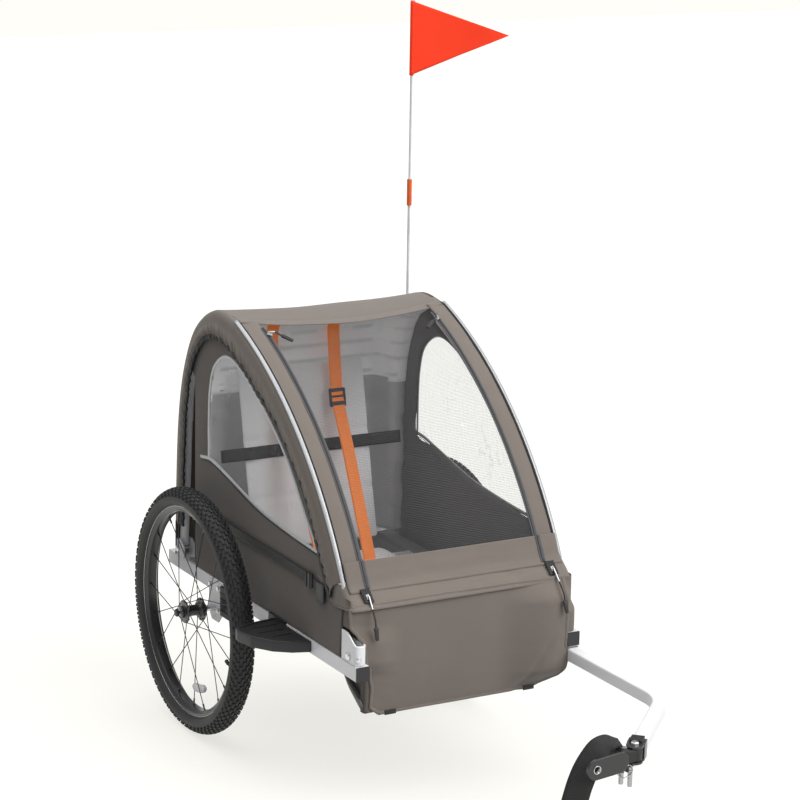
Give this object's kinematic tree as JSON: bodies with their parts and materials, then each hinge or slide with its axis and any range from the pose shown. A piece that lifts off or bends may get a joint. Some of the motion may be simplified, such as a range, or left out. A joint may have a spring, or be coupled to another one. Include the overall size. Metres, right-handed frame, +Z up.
{
  "type": "child bicycle trailer",
  "caption": "Two-wheeled child bicycle trailer with a folding fabric cabin, see-through front cover, folding tow arm, quick-release wheels and a safety flag.",
  "frame": {"origin": "bottom centre of the whole object's bounding box, on the ground plane", "axes": "+Z up, +Y towards the trailer's rear, +X towards the trailer's left; the tow arm reaches to -Y"},
  "size_m": [0.82, 1.3602, 1.44],
  "materials": {
    "frame_white": "satin white powder coat",
    "hardware_steel": "zinc-plated steel",
    "wheel_black": "semi-gloss black",
    "spoke_black": "black steel wire",
    "tyre_rubber": "matt rubber with a fine tread",
    "black_plastic": "moulded, fine texture",
    "elastomer": "matt moulded rubber",
    "coupler_black": "black-plated steel",
    "cabin_fabric": "coated polyester weave, taupe",
    "floor_fabric": "coated polyester, dark",
    "cover_mesh": "open black mesh",
    "window_vinyl": "clear soft vinyl",
    "seat_fabric": "grey polyester weave",
    "webbing_orange": "woven orange webbing",
    "webbing_black": "woven black webbing",
    "flag_pole": "light grey fibreglass rod",
    "flag_cloth": "fluorescent orange-red cloth",
    "reflective_piping": "silver reflective piping"
  },
  "bodies": {
    "chassis": {"right_side_rail": "frame_white", "left_side_rail": "frame_white", "front_cross_tube": "frame_white", "axle_cross_tube": "frame_white", "rear_cross_tube": "frame_white", "right_front_bracket": "frame_white", "left_front_bracket": "frame_white", "right_rear_bracket": "frame_white", "left_rear_bracket": "frame_white", "right_axle_plate": "frame_white", "left_axle_plate": "frame_white", "tow_arm_receiver": "frame_white", "right_rail_end_cap": "black_plastic", "right_arc_pivot_bolt": "hardware_steel", "right_hoop_pivot_bolt": "hardware_steel", "right_wheel_guard": "black_plastic", "right_axle": "hardware_steel", "right_side_panel": "cabin_fabric", "right_side_window": "window_vinyl", "right_shoulder_strap": "webbing_orange", "left_rail_end_cap": "black_plastic", "left_arc_pivot_bolt": "hardware_steel", "left_hoop_pivot_bolt": "hardware_steel", "left_wheel_guard": "black_plastic", "left_axle": "hardware_steel", "left_side_panel": "cabin_fabric", "left_side_window": "window_vinyl", "left_shoulder_strap": "webbing_orange", "floor_tub": "floor_fabric", "front_panel": "cabin_fabric", "seat_base": "seat_fabric", "seat_back": "seat_fabric", "hood": "cabin_fabric", "front_cover": "cover_mesh", "flag_socket": "black_plastic"},
    "rear_hoop": {"rear_hoop": "frame_white"},
    "right_push_button": {"right_push_button": "hardware_steel"},
    "left_push_button": {"left_push_button": "hardware_steel"},
    "right_front_arc": {"right_front_arc": "frame_white"},
    "left_front_arc": {"left_front_arc": "frame_white"},
    "right_wheel": {"right_tyre": "tyre_rubber", "right_rim": "wheel_black", "right_spokes": "spoke_black", "right_hub": "wheel_black"},
    "left_wheel": {"left_tyre": "tyre_rubber", "left_rim": "wheel_black", "left_spokes": "spoke_black", "left_hub": "wheel_black"},
    "right_axle_button": {"right_axle_button": "black_plastic"},
    "left_axle_button": {"left_axle_button": "black_plastic"},
    "tow_arm": {"tow_arm": "frame_white"},
    "tow_lock_plunger": {"tow_lock_plunger": "black_plastic"},
    "hitch_flex_joint": {"hitch_flex_joint": "elastomer"},
    "hitch_coupler": {"hitch_coupler_plate": "coupler_black", "safety_strap": "webbing_black"},
    "hitch_pin": {"hitch_pin": "hardware_steel"},
    "flag_pole": {"flag_pole_lower": "flag_pole", "flag_pole_upper": "flag_pole"},
    "flag": {"flag": "flag_cloth"}
  },
  "joints": [
    {"name": "rear_hoop_fold", "type": "hinge", "parent": "chassis", "child": "rear_hoop", "pos_m": [-0.072, 0.61607, 0.322], "axis": [1, 0, 0], "range_deg": [0, 58], "deforming": ["hood", "right_side_panel", "left_side_panel", "right_side_window", "left_side_window", "front_cover", "seat_back", "right_shoulder_strap", "left_shoulder_strap"]},
    {"name": "right_arc_fold", "type": "hinge", "parent": "chassis", "child": "right_front_arc", "pos_m": [-0.072, -0.13593, 0.322], "axis": [1, 0, 0], "range_deg": [-41.5, 0]},
    {"name": "left_arc_fold", "type": "hinge", "parent": "chassis", "child": "left_front_arc", "pos_m": [-0.072, -0.13593, 0.322], "axis": [1, 0, 0], "range_deg": [-41.5, 0]},
    {"name": "right_wheel_spin", "type": "hinge", "parent": "chassis", "child": "right_wheel", "pos_m": [-0.364, 0.43007, 0.25], "axis": [1, 0, 0], "continuous": true},
    {"name": "left_wheel_spin", "type": "hinge", "parent": "chassis", "child": "left_wheel", "pos_m": [0.22, 0.43007, 0.25], "axis": [1, 0, 0], "continuous": true},
    {"name": "right_axle_button_press", "type": "slide", "parent": "chassis", "child": "right_axle_button", "axis": [1, 0, 0], "range_m": [0, 0.003], "stiffness_N_per_m": 600},
    {"name": "left_axle_button_press", "type": "slide", "parent": "chassis", "child": "left_axle_button", "axis": [-1, 0, 0], "range_m": [0, 0.003], "stiffness_N_per_m": 600},
    {"name": "right_push_button_press", "type": "slide", "parent": "rear_hoop", "child": "right_push_button", "axis": [1, 0, 0], "range_m": [0, 0.003], "stiffness_N_per_m": 600},
    {"name": "left_push_button_press", "type": "slide", "parent": "rear_hoop", "child": "left_push_button", "axis": [-1, 0, 0], "range_m": [0, 0.003], "stiffness_N_per_m": 600},
    {"name": "tow_arm_fold", "type": "hinge", "parent": "chassis", "child": "tow_arm", "pos_m": [0.156, -0.05993, 0.2625], "axis": [1, 0, 0], "range_deg": [0, 165]},
    {"name": "tow_lock_plunger_pull", "type": "slide", "parent": "chassis", "child": "tow_lock_plunger", "axis": [1, 0, 0], "range_m": [0, 0.008], "stiffness_N_per_m": 500},
    {"name": "hitch_yaw", "type": "hinge", "parent": "tow_arm", "child": "hitch_flex_joint", "pos_m": [-0.02914, -0.64607, 0.2625], "axis": [0, 0, 1], "range_deg": [-40, 40]},
    {"name": "hitch_pitch", "type": "hinge", "parent": "hitch_flex_joint", "child": "hitch_coupler", "pos_m": [-0.063, -0.64607, 0.2625], "axis": [0, 1, 0], "range_deg": [-20, 20]},
    {"name": "hitch_pin_pull", "type": "slide", "parent": "hitch_flex_joint", "child": "hitch_pin", "axis": [0, 0, 1], "range_m": [0, 0.05]},
    {"name": "flag_pole_lift", "type": "slide", "parent": "chassis", "child": "flag_pole", "axis": [0, 0, 1], "range_m": [0, 0.045]},
    {"name": "flag_turn", "type": "hinge", "parent": "flag_pole", "child": "flag", "pos_m": [0.18, 0.54207, 1.362], "axis": [0, 0, 1], "continuous": true}
  ],
  "couplings": [
    {"joint": "right_arc_fold", "follows": "rear_hoop_fold", "ratio": -0.7138},
    {"joint": "left_arc_fold", "follows": "rear_hoop_fold", "ratio": -0.7138}
  ]
}
